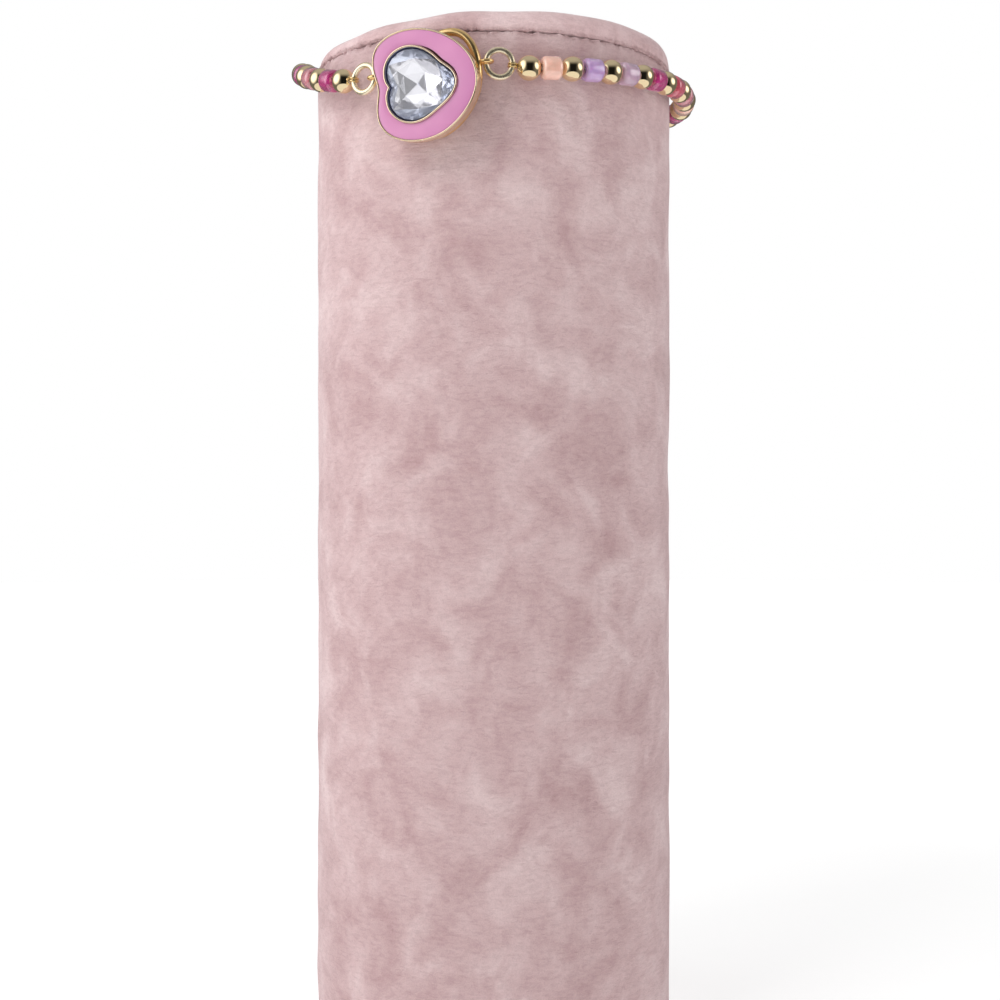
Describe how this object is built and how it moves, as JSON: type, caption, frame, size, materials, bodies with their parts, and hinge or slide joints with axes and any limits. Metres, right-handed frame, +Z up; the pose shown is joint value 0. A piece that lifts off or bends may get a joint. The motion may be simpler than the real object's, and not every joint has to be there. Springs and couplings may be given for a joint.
{
  "type": "spinner bracelet on velvet display column",
  "caption": "Beaded stretch bracelet with a pink enamel heart charm that spins in an open frame, worn round a plain velvet display column.",
  "frame": {"origin": "centre of the column's flat base", "axes": "+Z up the column; the charm's face looks along -Y, turned a little towards -X and tilted slightly down"},
  "size_m": [0.0559, 0.0577, 0.1344],
  "materials": {
    "velvet": "dusty pink crushed velvet with a short pile",
    "gold": "polished pale gold plating",
    "enamel": "glossy orchid pink enamel, slightly domed",
    "crystal": "clear faceted stone with a silver foil back",
    "seed_glass": "glossy glass seed beads, some clear and some opaque, in pinks, peach and lilac",
    "elastic": "clear stretch cord"
  },
  "bodies": {
    "display": {"column_sleeve": "velvet", "column_cap": "velvet", "bead_stretch_01": "gold", "bead_stretch_02": "gold", "bead_stretch_03": "gold", "bead_stretch_04": "gold", "bead_stretch_05": "gold", "bead_stretch_06": "gold", "bead_stretch_07": "gold", "bead_stretch_08": "gold", "bead_stretch_09": "gold", "bead_stretch_10": "gold", "bead_stretch_11": "gold", "bead_stretch_12": "gold", "cord_guard_right": "gold", "cord_guard_left": "gold", "jump_ring_right": "gold", "jump_ring_left": "gold", "spinner_frame": "gold"},
    "spinner": {"heart_setting": "gold", "enamel_fill": "enamel", "heart_crystal": "crystal", "pivot_washer": "gold"}
  },
  "joints": [
    {"name": "heart_spin", "type": "hinge", "parent": "display", "child": "spinner", "pos_m": [-0.00776, -0.02492, 0.1231], "axis": [-0.2957, -0.9495, -0.1045], "continuous": true}
  ]
}
